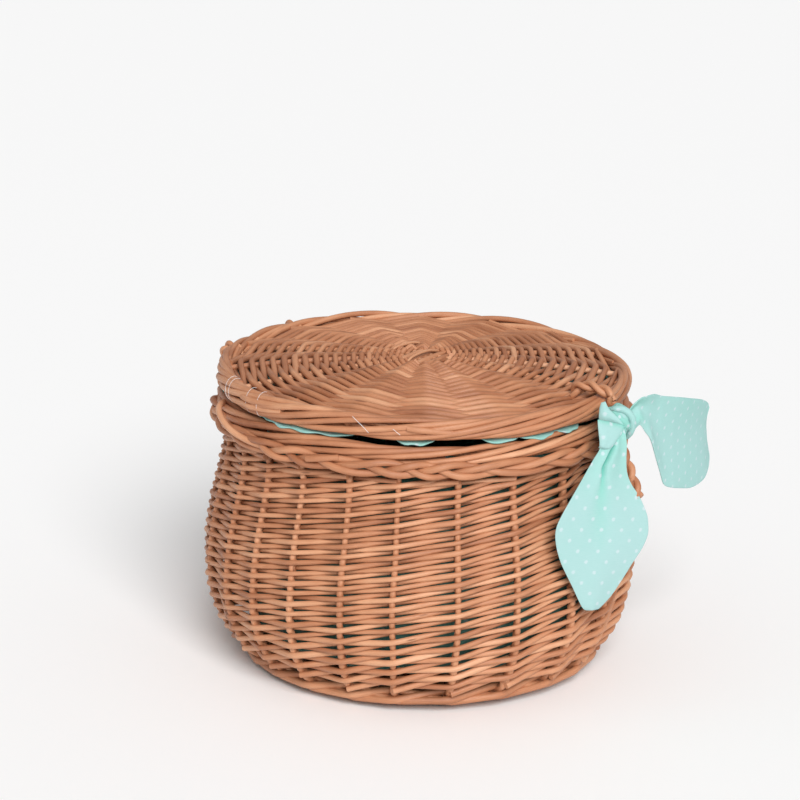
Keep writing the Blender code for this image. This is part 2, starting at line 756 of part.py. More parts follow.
def make_ribbon(material):
    seat, lean = knot_seat()
    centre = seat - Vector((KNOT_ASIDE, 0, 0))
    shape = bmesh.new()
    bmesh.ops.create_icosphere(shape, subdivisions=KNOT_FACETS, radius=1 / 2)
    bmesh.ops.scale(shape, verts=shape.verts, vec=(KNOT_WIDTH, KNOT_DEPTH, KNOT_HEIGHT))
    bmesh.ops.translate(shape, verts=shape.verts, vec=centre)
    knot = mesh_object("ribbon", shape, material, smooth_angle=60)

    rows = len(DROP_WIDTH_SHARES) - 1
    askew = math.radians(DROP_TAIL_ASKEW)
    across = Vector((math.cos(askew), -math.sin(askew), 0))
    places = []
    normal = Vector((math.sin(askew), math.cos(askew), 0))
    for row, (slant, out) in enumerate(zip(DROP_SLANT_SHARES, DROP_OUT_SHARES)):
        drop = Vector((0, 0, KNOT_HEIGHT / 4 + DROP_TAIL * row / rows))
        places.append(centre - across * DROP_TAIL_SLANT * slant - normal * DROP_TAIL_OUT * out - drop)
    widths = [share * DROP_TAIL_WIDTH for share in DROP_WIDTH_SHARES]
    tail = tail_sheet("ribbon_drop_tail", places, widths, across, normal, DROP_FOLD, material)
    boolean(knot, tail, "UNION")

    rows = len(SIDE_WIDTH_SHARES) - 1
    heading = math.radians(SIDE_TAIL_HEADING)
    places = []
    up = Vector((0, 0, 1))
    normal = Vector((math.sin(heading), -math.cos(heading), 0))
    for row, (sag, bow) in enumerate(zip(SIDE_SAG_SHARES, SIDE_BOW_SHARES)):
        reach = KNOT_WIDTH / 4 + SIDE_TAIL * row / rows
        way = round_axis(reach, heading, -SIDE_TAIL_SAG * sag)
        places.append(centre + way + normal * SIDE_TAIL_BOW * bow)
    widths = [share * SIDE_TAIL_WIDTH for share in SIDE_WIDTH_SHARES]
    tail = tail_sheet("ribbon_side_tail", places, widths, up, normal, SIDE_FOLD, material)
    boolean(knot, tail, "UNION")

    bore = bmesh.new()
    turn = lean.to_track_quat("Z", "X").to_matrix().to_4x4()
    bmesh.ops.create_cone(
        bore,
        cap_ends=True,
        segments=10,
        radius1=KNOT_BORE,
        radius2=KNOT_BORE,
        depth=2 * KNOT_HEIGHT,
        matrix=Matrix.Translation(seat) @ turn,
    )
    boolean(knot, as_guide(mesh_object("cut_ribbon_bore", bore, None)), "DIFFERENCE")


def main():
    clear_scene()
    willow = finish("willow", (0.50, 0.29, 0.16), 0.5)
    willow_light = finish("willow light", (0.62, 0.40, 0.24), 0.5)
    willow_dark = finish("willow dark", (0.38, 0.20, 0.11), 0.55)
    cotton = finish("mint cotton", (0.33, 0.72, 0.62), 0.9)
    ribbon = finish("mint dotted cotton", (0.42, 0.80, 0.70), 0.85)
    make_stakes(willow_light)
    make_base(willow_light, willow)
    make_upsett(willow_dark)
    make_wall_weavers(willow)
    make_rim(willow_dark, willow_light)
    make_lining(cotton)
    make_lid_sticks(willow_light)
    make_lid_weavers(willow)
    make_lid_edge(willow_dark)
    make_lid_pad(cotton)
    make_straps(willow_light, willow_light)
    make_clasp(willow_light)
    make_staple(willow)
    make_ribbon(ribbon)


main()
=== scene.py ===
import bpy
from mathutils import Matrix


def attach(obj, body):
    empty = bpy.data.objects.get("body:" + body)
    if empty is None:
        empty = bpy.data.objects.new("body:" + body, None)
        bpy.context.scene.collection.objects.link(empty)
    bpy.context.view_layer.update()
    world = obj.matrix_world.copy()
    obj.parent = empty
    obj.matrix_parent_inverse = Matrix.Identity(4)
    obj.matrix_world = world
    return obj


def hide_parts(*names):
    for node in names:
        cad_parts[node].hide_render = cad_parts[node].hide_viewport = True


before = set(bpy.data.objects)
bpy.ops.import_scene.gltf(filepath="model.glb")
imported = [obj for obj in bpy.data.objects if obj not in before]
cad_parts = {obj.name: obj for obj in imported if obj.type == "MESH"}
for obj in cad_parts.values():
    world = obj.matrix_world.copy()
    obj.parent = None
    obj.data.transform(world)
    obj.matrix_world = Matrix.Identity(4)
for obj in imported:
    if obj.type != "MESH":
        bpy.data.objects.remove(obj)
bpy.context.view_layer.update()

import math
import random

import bmesh
import bpy
import numpy as np
from mathutils import Matrix, Vector, noise

scene = bpy.context.scene
turn = 2 * math.pi
random.seed(7)


# a socket that can be added, multiplied and so on like a number
class Value:
    def __init__(self, finish, socket):
        self.finish = finish
        self.socket = socket

    def math(self, operation, *others, clamp=False):
        return self.finish.node("ShaderNodeMath", {"operation": operation, "use_clamp": clamp}, [self, *others])

    def __add__(self, other):
        return self.math("ADD", other)

    def __sub__(self, other):
        return self.math("SUBTRACT", other)

    def __rsub__(self, other):
        return self.finish.number(other).math("SUBTRACT", self)

    def __mul__(self, other):
        return self.math("MULTIPLY", other)

    def __truediv__(self, other):
        return self.math("DIVIDE", other)

    def __rtruediv__(self, other):
        return self.finish.number(other).math("DIVIDE", self)

    def __pow__(self, other):
        return self.math("POWER", other)

    __radd__ = __add__
    __rmul__ = __mul__

    def clamped(self):
        return self.math("ADD", 0.0, clamp=True)

    def smaller(self, other):
        return self.math("MINIMUM", other)

    def fraction(self):
        return self.math("FRACT")

    def cosine(self):
        return self.math("COSINE")

    def sine(self):
        return self.math("SINE")

    def between(self, low, high):
        return self.finish.node("ShaderNodeMapRange", {"interpolation_type": "SMOOTHSTEP"},
                                {"Value": self, "From Min": low, "From Max": high})


class Finish:
    def __init__(self, name):
        self.material = bpy.data.materials.new(name)
        self.material.use_nodes = True
        self.tree = self.material.node_tree
        self.shader = self.tree.nodes["Principled BSDF"]

    def node(self, kind, settings=None, values=None, out=0):
        made = self.tree.nodes.new(kind)
        for key, setting in (settings or {}).items():
            if key == "stops":
                ramp = made.color_ramp
                while len(ramp.elements) < len(setting):
                    ramp.elements.new(0.5)
                for element, (position, colour) in zip(ramp.elements, setting):
                    element.position = position
                    element.color = (*colour, 1)
            else:
                setattr(made, key, setting)
        pairs = values.items() if isinstance(values, dict) else enumerate(values or [])
        for key, value in pairs:
            self.plug(made.inputs[key], value)
        return Value(self, made.outputs[out])

    def plug(self, socket, value):
        if isinstance(value, Value):
            self.tree.links.new(value.socket, socket)
        elif isinstance(value, tuple) and socket.type == "RGBA":
            socket.default_value = (*value, 1)
        else:
            socket.default_value = value

    def number(self, value):
        return self.node("ShaderNodeMath", {"operation": "ADD"}, [float(value), 0.0])

    def own(self, name):
        return self.node("ShaderNodeAttribute", {"attribute_name": name}, out=2)

    def place(self):
        return self.node("ShaderNodeTexCoord", out=3)

    def vector(self, x, y, z):
        return self.node("ShaderNodeCombineXYZ", None, [x, y, z])

    def noise(self, vector, scale, detail=2.0, roughness=0.5):
        return self.node("ShaderNodeTexNoise", None,
                         {"Vector": vector, "Scale": scale, "Detail": detail, "Roughness": roughness})

    def blend(self, factor, low, high):
        return self.node("ShaderNodeMix", {"data_type": "RGBA"}, {0: factor, 6: low, 7: high}, out=2)

    def ramp(self, factor, stops):
        return self.node("ShaderNodeValToRGB", {"stops": stops}, [factor])

    def bump(self, height, distance, strength=1.0):
        return self.node("ShaderNodeBump", None, {"Height": height, "Distance": distance, "Strength": strength})

    def end(self, **sockets):
        for name, value in sockets.items():
            self.plug(self.shader.inputs[name.replace("_", " ").title()], value)
        return self.material


# willow: each rod has a tone of its own, streaks along it and now and then a bud scar
willowLook = {
    "stops": [(0.0, (0.180, 0.056, 0.022)), (0.25, (0.360, 0.134, 0.060)), (0.5, (0.535, 0.234, 0.116)),
              (0.75, (0.695, 0.364, 0.204)), (1.0, (0.840, 0.540, 0.350))],
    "ownTone": 0.32, "streak": 0.50, "patch": 0.60, "blot": 0.35, "roughness": 0.48,
    "scar": (0.18, 0.062, 0.028),
}


def willowFinish(name, lift, look=willowLook):
    made = Finish(name)
    tone = made.own("tone")
    along = made.own("along")
    around = made.own("around") * turn
    x, y = around.cosine(), around.sine()
    streak = made.noise(made.vector(x, y, along * 16.0), 5.0, 4.0, 0.65)
    patch = made.noise(made.vector(tone * 37.0, tone * 11.0, along * 9.0), 2.2)
    blot = made.noise(made.place(), 38.0, 3.0, 0.6)
    shade = (0.5 + lift + (tone - 0.5) * look["ownTone"] + (streak - 0.5) * look["streak"]
             + (patch - 0.5) * look["patch"] + (blot - 0.5) * look["blot"])
    colour = made.ramp(shade.clamped(), look["stops"])
    budAt = made.vector(x * 0.25, y * 0.25, along * 24.0 + tone * 91.0)
    cell = made.node("ShaderNodeTexVoronoi", None, {"Vector": budAt, "Scale": 1.0})
    scar = 1.0 - cell.between(0.055, 0.12)
    colour = made.blend(scar * 0.7, colour, look["scar"])
    fibre = made.noise(made.vector(x, y, along * 30.0), 16.0, 3.0, 0.7)
    height = streak * 0.5 + fibre * 0.35 - scar * 0.5
    return made.end(base_color=colour, roughness=look["roughness"] + (fibre - 0.5) * 0.25 + scar * 0.2,
                    normal=made.bump(height, 0.0005, 0.7))


# cotton: mint cloth with white dots in staggered rows, with painted shade making it deeper mint in its folds
# and other shaded places
cottonLook = {
    # pale is the cloth in full light; mint (which the random wash also mixes in) and deep are painted shade,
    # mixed in by the fold amount; back is painted shadow
    "mint": (0.225, 0.560, 0.485), "pale": (0.355, 0.570, 0.565), "deep": (0.070, 0.420, 0.340),
    "dot": (0.49, 0.62, 0.64), "dotWidth": 0.0030, "dotPitch": 0.0139, "rowPitch": 0.0132,
    "back": (0.020, 0.070, 0.055), "slub": ((0.30, 0.62, 0.55), (0.98, 1.0, 1.0)), "thread": 0.00042,
}


def cottonFinish(name, look=cottonLook, paintedShadowOutside=False):
    made = Finish(name)
    u = made.own("clothU")
    v = made.own("clothV")

    def reach(shift):
        x = ((u / look["dotPitch"] + shift).fraction() - 0.5) * look["dotPitch"]
        y = ((v / look["rowPitch"] + shift).fraction() - 0.5) * look["rowPitch"]
        return (x * x + y * y) ** 0.5

    fold = made.own("fold")
    wash = (made.noise(made.place(), 30.0) - 0.5) * 0.35
    # painted shade: the fold amount darkens the cloth from pale through mint to deep; the wash is random tone
    colour = made.blend((fold * 2.0 + wash).clamped(), look["pale"], look["mint"])
    colour = made.blend((fold * 2.0 - 1.0).clamped(), colour, look["deep"])
    fray = made.noise(made.vector(u * 900.0, v * 900.0, 0.0), 1.0)
    spot = reach(0.0).smaller(reach(0.5)) + (fray - 0.5) * 0.0009
    dotted = 1.0 - spot.between(look["dotWidth"] * 0.22, look["dotWidth"] * 0.54)
    colour = made.blend(dotted, colour, look["dot"])
    slub = made.noise(made.vector(u * 260.0, v * 1500.0, 0.0), 1.0, 3.0)
    colour = made.blend(0.10, colour, made.blend(slub, *look["slub"]))
    if paintedShadowOutside:
        # painted shadow: the lining's outer face, seen through the weave, is painted dark
        outward = made.node("ShaderNodeVectorMath", {"operation": "DOT_PRODUCT"},
                            [made.node("ShaderNodeTexCoord", out=1), made.place()], out=1)
        colour = made.blend((outward * 40.0).clamped() * 0.7, colour, look["back"])
    thread = (u * (turn / look["thread"])).sine() * (v * (turn / look["thread"])).sine()
    height = thread * 0.5 + slub * 0.6
    return made.end(base_color=colour, roughness=0.86, normal=made.bump(height, 0.00012, 0.6))


def nylonFinish():
    made = Finish("nylon_thread")
    # painted highlight: the clear nylon thread is coloured whitish to stand for its glints, mottled at random
    glintMottle = made.noise(made.place(), 90.0)
    colour = made.blend(glintMottle, (0.80, 0.80, 0.82), (0.95, 0.95, 0.96))
    return made.end(base_color=colour, roughness=0.3, coat_weight=0.3)


willow = willowFinish("willow", 0.0)
willowPale = willowFinish("willow_pale", 0.05)
cotton = cottonFinish("mint_dotted_cotton")
liningCotton = cottonFinish("mint_lining_cotton", paintedShadowOutside=True)
nylon = nylonFinish()
print("finishes made")


# a rod is a curve swept to a tube that keeps its tone, its run and its way round for the finish
def bentRod(points, radii, tone=None, sides=8, upright=False):
    curve = bpy.data.curves.new("rod", "CURVE")
    curve.dimensions = "3D"
    curve.bevel_depth = 1.0
    curve.bevel_resolution = (sides - 4) // 2
    curve.use_fill_caps = True
    curve.twist_mode = "MINIMUM" if upright else "Z_UP"
    spline = curve.splines.new("POLY")
    spline.points.add(len(points) - 1)
    spline.points.foreach_set("co", np.column_stack([points, np.ones(len(points))]).ravel())
    spline.points.foreach_set("radius", np.broadcast_to(radii, (len(points),)).astype(float))
    holder = bpy.data.objects.new("rod", curve)
    scene.collection.objects.link(holder)
    mesh = bpy.data.meshes.new_from_object(holder.evaluated_get(bpy.context.evaluated_depsgraph_get()))
    bpy.data.objects.remove(holder)
    bpy.data.curves.remove(curve)
    run = np.concatenate([[0], np.cumsum(np.linalg.norm(np.diff(points, axis=0), axis=1))])
    tone = random.random() if tone is None else tone
    along = np.concatenate([np.full(sides, run[-1]), np.full(sides, run[0]), np.repeat(run, sides)])
    along += tone * 3
    around = np.concatenate([np.zeros(2 * sides), np.tile(np.arange(sides) / sides, len(points))])
    for name, column in (("tone", np.full(len(along), tone)), ("along", along), ("around", around)):
        mesh.attributes.new(name, "FLOAT", "POINT").data.foreach_set("value", column.astype(np.float32))
    while mesh.uv_layers:
        mesh.uv_layers.remove(mesh.uv_layers[0])
    return mesh


def asPiece(name, meshes, material, body, nodes=()):
    made = [bpy.data.objects.new(name, mesh) for mesh in meshes]
    for thing in made:
        scene.collection.objects.link(thing)
    piece = made[0]
    if len(made) > 1:
        with bpy.context.temp_override(active_object=piece, object=piece, selected_objects=made,
                                       selected_editable_objects=made):
            bpy.ops.object.join()
    piece.name = piece.data.name = name
    piece.data.materials.clear()
    piece.data.materials.append(material)
    piece.data.shade_smooth()
    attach(piece, body)
    if nodes:
        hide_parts(*nodes)
    return piece


# a smooth line through a few points
def throughPoints(points, each):
    points = np.array(points, float)
    points = np.concatenate([2 * points[:1] - points[1:2], points, 2 * points[-1:] - points[-2:-1]])
    line = []
    for a, b, c, d in zip(points, points[1:], points[2:], points[3:]):
        for t in np.arange(each) / each:
            bend = (2 * a - 5 * b + 4 * c - d) * t**2 + (3 * b - a - 3 * c + d) * t**3
            line.append(0.5 * (2 * b + (c - a) * t + bend))
    return np.array(line + [points[-2]])


# straight between its corners and bent over each, with the corner count that every point has reached
def softBends(corners, soft):
    line, at = [corners[0]], [0.0]
    for index, (before, corner, after) in enumerate(zip(corners, corners[1:], corners[2:]), 1):
        enter = corner + (before - corner) * soft
        leave = corner + (after - corner) * soft
        for t in (0, 0.33, 0.67, 1):
            line.append((1 - t) ** 2 * enter + 2 * t * (1 - t) * corner + t**2 * leave)
            at.append(index + (2 * t - 1) * soft)
    return np.array(line + [corners[-1]]), np.array(at + [len(corners) - 1.0])


def wobble(seed, x, size):
    return size * np.array([noise.noise((seed * 7.13, float(value), 0.37)) for value in np.atleast_1d(x)])


def roundWobble(seed, angle, size, pace=2.0):
    return size * np.array([noise.noise((math.cos(a) * pace, math.sin(a) * pace, seed)) for a in angle])


# the wall's outline, from the foot up: radius and height in millimetres, through the middle of the stakes
wall = {
    "outline": [(86.5, 8.4), (97, 8.2), (109.5, 9.2), (120, 17), (129.6, 33), (135.6, 54), (135.8, 76),
                (132.8, 98), (127.6, 122), (124.2, 142), (125.2, 160), (125.2, 164.5)],
    # the stakes don't stand quite evenly: how far each is on from its even place, in degrees by bearing
    "evenAt": [-97.5, 142.5, 157.5, 172.5, 187.5, 202.5, 217.5, 232.5, 247.5, 262.5],
    "onward": [8.0, 8.2, 6.2, 4.6, 4.4, 3.3, 4.8, 6.1, 8.6, 8.0],
    "stakes": 24, "butt": 0.0022, "tip": 0.0019, "bow": 0.0011, "sway": 0.006, "knobbly": 0.16,
    "stakeTone": (0.25, 0.55),
    # the rows lie wider apart low down, where the rods are thick
    "row": [0, 5, 13, 42], "rise": [0.0350, 0.0555, 0.085, 0.1775],
    "rod": 0.00162, "thicker": [1.26, 1.20, 1.0, 1.0], "uneven": 0.26, "odd": 0.06,
    "reach": 0.0030, "soft": 0.10, "stray": 0.0005,
}
outline = throughPoints(np.array(wall["outline"]) / 1000, 16)
outlineRun = np.concatenate([[0], np.cumsum(np.linalg.norm(np.diff(outline, axis=0), axis=1))])
tangent = np.gradient(outline, axis=0)
outlineOut = np.column_stack([tangent[:, 1], -tangent[:, 0]])
outlineOut /= np.linalg.norm(outlineOut, axis=1)[:, None]


def onWall(run, angle, offset):
    radius = np.interp(run, outlineRun, outline[:, 0]) + offset * np.interp(run, outlineRun, outlineOut[:, 0])
    height = np.interp(run, outlineRun, outline[:, 1]) + offset * np.interp(run, outlineRun, outlineOut[:, 1])
    return np.column_stack([radius * np.cos(angle), radius * np.sin(angle), height])


def stakeAngle(index):
    even = 360 * (index + 0.5) / wall["stakes"] - 90
    return np.radians(even + np.interp((even + 97.5) % 360 - 97.5, wall["evenAt"], wall["onward"]))


meshes = []
for index in range(wall["stakes"]):
    run = np.linspace(0, outlineRun[-1], 150)
    angle = stakeAngle(index) + wobble(index, run * 30, wall["sway"])
    woven = np.interp(run, [wall["rise"][0] - 0.004, wall["rise"][0]], [0, 1])
    bow = -wall["bow"] * woven * (-1) ** index * np.cos(math.pi * np.interp(run, wall["rise"], wall["row"]))
    taper = np.interp(run, outlineRun[[0, -1]], [wall["butt"], wall["tip"]])
    radii = taper * (1 + wobble(index + 40, run * 40, wall["knobbly"]))
    tone = random.uniform(*wall["stakeTone"])
    meshes.append(bentRod(onWall(run, angle, bow), radii, tone, upright=True))
stakeNodes = [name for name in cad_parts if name.startswith("stake_")]
asPiece("wall_stakes", meshes, willow, "basket", stakeNodes)

# two weavers start at every stake
# each passes in front of one stake and behind the next, and climbs two rows a stake
meshes = []
for weaver in range(2 * wall["stakes"]):
    row = np.arange(weaver % 2, wall["row"][-1] + 2, 2)
    step = np.arange(len(row))
    side = np.where((weaver // 2 + step + row) % 2 == 0, 1, -1)
    run = np.interp(row, wall["row"], wall["rise"]) + wobble(weaver + 11, step / 1.2, wall["stray"])
    reach = side * wall["reach"] + wobble(weaver + 23, step * 1.3, wall["stray"])
    line, at = softBends(onWall(run, stakeAngle(weaver // 2 + step), reach), wall["soft"])
    odd = random.uniform(-wall["odd"], wall["odd"])
    thick = wall["rod"] * (1 + wobble(weaver + 3, at / 3, wall["uneven"]) + odd)
    thick = thick * np.interp(np.interp(at, step, row), wall["row"], wall["thicker"])
    meshes.append(bentRod(line, thick))
asPiece("wall_weave", meshes, willow, "basket", ["wall_weaver_a", "wall_weaver_b"])
print("wall woven")

# three rods waled round the foot, each in front of two stakes and behind the third
foot = {"rod": 0.0025, "strokes": 58, "start": 0.0095, "pitch": 0.0103, "front": 0.0046, "behind": -0.0030,
        "lift": [0, -0.0013, 0.0013], "rise": 0.0006, "stray": 0.0005, "soft": 0.16,
        "thin": 0.7, "uneven": 0.12}
meshes = []
for rod in range(3):
    step = np.arange(foot["strokes"])
    run = foot["start"] + foot["pitch"] * step / wall["stakes"] + np.array(foot["lift"])[step % 3]
    run = run + wobble(rod + 60, step / 2, foot["rise"])
    reach = np.where(step % 3 == 0, foot["behind"], foot["front"]) + wobble(rod + 70, step, foot["stray"])
    line, at = softBends(onWall(run, stakeAngle(step + rod), reach), foot["soft"])
    taper = np.interp(at, [0, 3, step[-1] - 3, step[-1]], [foot["thin"], 1, 1, foot["thin"]])
    meshes.append(bentRod(line, foot["rod"] * taper * (1 + wobble(rod + 80, at / 4, foot["uneven"]))))
asPiece("foot_wale", meshes, willow, "basket", ["upsett_wale"])


# the base and the lid are woven round crossed sticks
def discWeave(look, level, stick, seed):
    radii = [look["first"]]
    while radii[-1] < look["last"]:
        radii.append(radii[-1] + 0.5 * np.interp(radii[-1], look["pitchAt"], look["pitch"]))
    step = np.arange(len(radii))
    meshes = []
    for weaver in range(look["spokes"]):
        radius = np.array(radii) + wobble(weaver + seed, step / 1.5, look["stray"])
        share = np.interp(radius, look["pitchAt"], look["rodShare"])
        thick = 0.5 * share * np.interp(radius, look["pitchAt"], look["pitch"])
        side = np.where(step % 2 == 0, 1, -1)
        lift = side * look["relief"] * (stick(radius) / 2 + thick)
        angle = turn * (weaver + step + 0.5) / look["spokes"]
        height = level(radius) + lift + wobble(weaver + seed + 17, step, look["heave"])
        corners = np.column_stack([radius * np.cos(angle), radius * np.sin(angle), height])
        line, at = softBends(corners, look["soft"])
        thick = np.interp(at, step, thick) * (1 + wobble(weaver + seed + 9, at / 4, look["uneven"]))
        meshes.append(bentRod(line, thick))
    return meshes


# the sticks lie side by side through the cross and fan out past it; those that pass through are thinner there
def crossSticks(look, level, width, turned, waist):
    meshes = []
    for index in range(look["sticks"]):
        place = index - (look["sticks"] - 1) / 2
        offset = place * look["stickPitch"]
        fan = place * math.pi / (2 * look["sticks"])
        bend = (look["half"] + 0.006) * 1.25
        side = math.copysign(max(abs(offset), abs(bend * math.sin(fan))), offset) if offset else 0.0
        arm = [(r * math.cos(fan), r * math.sin(fan)) for r in (look["reach"], 0.55 * look["reach"])]
        arm += [(bend * math.cos(fan), side), (look["half"], offset)]
        flat = throughPoints(arm + [(0, offset)] + [(-x, y) for x, y in reversed(arm)], 8)
        radius = np.hypot(flat[:, 0], flat[:, 1])
        inside = np.interp(radius, [look["half"] * 0.9, look["half"] * 1.7], [1, 0])
        thick = width(radius) / 2 * (1 - waist * inside)
        if turned:
            flat = flat @ np.array([[0, 1], [-1, 0]])
        meshes.append(bentRod(np.column_stack([flat, level(radius)]), thick, sides=10))
    return meshes


lid = {"spokes": 16, "first": 0.0170, "last": 0.1225, "pitchAt": (0.015, 0.075), "pitch": (0.0040, 0.0069),
       "rodShare": (0.74, 0.56), "relief": 0.82, "soft": 0.09, "stray": 0.0007, "heave": 0.0004,
       "uneven": 0.34,
       "sticks": 4, "stickPitch": 0.0066, "half": 0.0142, "reach": 0.1267,
       "stickAt": (0.015, 0.045), "stick": (0.0042, 0.0036), "rim": 0.18594, "crown": 0.0088}


def lidLevel(r):
    return lid["rim"] + lid["crown"] * (1 - np.minimum(r / lid["reach"], 1) ** 2)


def lidStick(r):
    return np.interp(r, lid["stickAt"], lid["stick"])


asPiece("lid_weave", discWeave(lid, lidLevel, lidStick, 200), willow, "lid",
        ["lid_weaver_a", "lid_weaver_b"])
for name, turned, waist in (("slit", False, 0.0), ("through", True, 0.5)):
    asPiece(f"lid_{name}_sticks", crossSticks(lid, lidLevel, lidStick, turned, waist), willowPale, "lid",
            [f"lid_{name}_stick_{i}" for i in (1, 2, 3, 4)])

base = {"spokes": 12, "first": 0.0215, "last": 0.0815, "pitchAt": (0.0, 0.1), "pitch": (0.0062, 0.0062),
        "rodShare": (0.65, 0.65), "relief": 0.60, "soft": 0.15, "stray": 0.0004, "heave": 0.0004,
        "uneven": 0.34,
        "sticks": 3, "stickPitch": 0.0070, "half": 0.0110, "reach": 0.0858,
        # the cross is thicker and lower than the sticks outside it
        "stickAt": (0.012, 0.022), "stick": (0.0082, 0.0054), "level": (0.0042, 0.0071)}


def baseLevel(r):
    return np.interp(r, base["stickAt"], base["level"])


def baseStick(r):
    return np.interp(r, base["stickAt"], base["stick"])


# the base is woven flat
meshes = discWeave(base, lambda r: base["level"][1] + 0 * r, baseStick, 400)
asPiece("base_weave", meshes, willow, "basket", ["base_weaver"])
for name, turned, waist in (("slit", False, 0.0), ("through", True, 0.55)):
    asPiece(f"base_{name}_sticks", crossSticks(base, baseLevel, baseStick, turned, waist), willowPale, "basket",
            [f"base_{name}_sticks"])
print("discs woven")


# a rolled border: every rod starts inside, goes round under the edge, rises outside it and ends inside again
def rolledBorder(look, seed):
    meshes = []
    for strand in range(look["strands"]):
        for lay in range(look["lays"]):
            t = np.linspace(-look["past"], 1 + look["past"], 44)
            begin = lay + strand / look["strands"] + random.uniform(-0.02, 0.02)
            bearing = turn * (begin + t) / look["lays"]
            high = look["high"] * random.uniform(0.75, 1.12)
            shared = roundWobble(seed, bearing, look["stray"])
            which = seed + lay + strand * 9
            height = look["level"] - high * np.sin(turn * t) + shared + wobble(which, t * 3, look["own"])
            radius = look["radius"] - look["deep"] * np.cos(turn * t) + shared * 0.5
            radius = radius + wobble(which + 0.5, t * 3, look["ownOut"])
            ends = np.interp(t, [t[0], 0.02, 0.98, t[-1]], [look["thin"], 1, 1, look["thin"]])
            thick = look["rod"] * ends * random.uniform(0.86, 1.14)
            line = np.column_stack([radius * np.cos(bearing), radius * np.sin(bearing), height])
            meshes.append(bentRod(line, thick, sides=10))
    return meshes


border = {"lays": 4, "past": 0.10, "thin": 0.7, "stray": 0.0008, "ownOut": 0.0012}
lidBorder = {**border, "strands": 7, "rod": 0.0019, "radius": 0.1272, "level": 0.1858, "high": 0.0052,
             "deep": 0.0030, "own": 0.0024}
asPiece("lid_border", rolledBorder(lidBorder, 3), willow, "lid",
        ["lid_border_rod_lower", "lid_border_rod_middle", "lid_border_rod_upper"])
rimBorder = {**border, "strands": 6, "rod": 0.0020, "radius": 0.1258, "level": 0.1694, "high": 0.0042,
             "deep": 0.0036, "own": 0.0030}
asPiece("rim_border", rolledBorder(rimBorder, 12), willow, "basket",
        ["rim_rod_top", "rim_rod_outer", "rim_rod_inner"])

# a flat plait of three strands below the rim
plait = {"strands": 3, "waves": 10, "rod": 0.0022, "radius": 0.1316, "level": 0.1615, "high": 0.0036,
         "deep": 0.0019, "lag": 1.6, "stray": 0.0012, "strayOut": 0.0008, "uneven": 0.22}
meshes = []
for strand in range(plait["strands"]):
    bearing = np.linspace(0, turn * 1.004, 620)
    phase = bearing * plait["waves"] + roundWobble(5.0, bearing, plait["lag"])
    phase = phase + turn * strand / plait["strands"]
    height = plait["level"] + plait["high"] * np.sin(phase)
    height = height + roundWobble(6.0 + strand, bearing, plait["stray"], 4)
    radius = plait["radius"] + plait["deep"] * np.sin(2 * phase)
    radius = radius + roundWobble(9.0, bearing, plait["strayOut"], 3)
    line = np.column_stack([radius * np.cos(bearing), radius * np.sin(bearing), height])
    thick = plait["rod"] * (1 + roundWobble(2.0 + strand, bearing, plait["uneven"], 3))
    meshes.append(bentRod(line, thick, sides=10))
asPiece("rim_plait", meshes, willow, "basket", ["border_plait_a", "border_plait_b"])
print("borders laid")


# ties of two strands twisted together
def twistedTie(path, strand, lay, seed):
    line = throughPoints(path, 10)
    run = np.concatenate([[0], np.cumsum(np.linalg.norm(np.diff(line, axis=0), axis=1))])
    fine = np.linspace(0, run[-1], max(int(run[-1] / lay * 18), 8))
    line = np.column_stack([np.interp(fine, run, line[:, k]) for k in range(3)])
    heading = np.gradient(line, axis=0)
    heading /= np.linalg.norm(heading, axis=1)[:, None]
    normal = np.cross(heading, (1.0, 0, 0))
    normal /= np.linalg.norm(normal, axis=1)[:, None]
    across = np.cross(normal, heading)
    meshes = []
    for side in (0, math.pi):
        phase = (fine / lay * turn + side)[:, None]
        # the two strands press into each other a little
        points = line + (across * np.cos(phase) + normal * np.sin(phase)) * strand / 2 * 0.92
        meshes.append(bentRod(points, strand / 2 * (1 + wobble(seed + side, fine * 200, 0.16)), sides=10))
    return meshes


hasp = {"strand": 0.00448, "lay": 0.020, "line": 0.1364, "top": 0.18954, "drop": 0.0560, "stand": 0.0186,
        "aside": -0.0025,
        # how far out and how far down the hasp has come, as shares of its stand and its drop
        "shares": [(0, 0), (0.02, 0.055), (0.28, 0.15), (0.42, 0.28), (0.50, 0.42), (0.58, 0.55), (0.94, 0.8),
                   (1.22, 1)],
        "anchorStrand": 0.0040, "anchorLay": 0.022,
        "anchor": [(0, -0.1095, 0.1895), (0, -0.1120, 0.1955), (0, -0.1180, 0.1975), (0, -0.1280, 0.1970),
                   (0, -0.1346, 0.1945), (0, -0.1364, 0.1902)]}
path = [(hasp["aside"] * min(1, down * 4), -hasp["line"] - out * hasp["stand"],
         hasp["top"] - down * hasp["drop"]) for out, down in hasp["shares"]]
tie = twistedTie(path, hasp["strand"], hasp["lay"], 1)
asPiece("hasp_tie", tie, willowPale, "hasp", ["hasp"])
tie = twistedTie(hasp["anchor"], hasp["anchorStrand"], hasp["anchorLay"], 2)
asPiece("hasp_anchor_tie", tie, willowPale, "lid", ["hasp_anchor"])

staple = {"height": 0.149, "rod": 0.0015,
          "half": [(0.0040, 0.1245), (0.0040, 0.1305), (0.0028, 0.1341), (0, 0.1355)]}
path = [(x, -r, staple["height"]) for x, r in staple["half"]]
path += [(-x, y, z) for x, y, z in reversed(path[:-1])]
loop = bentRod(throughPoints(path, 6), staple["rod"])
asPiece("hasp_staple_loop", [loop], willowPale, "basket", ["hasp_staple"])

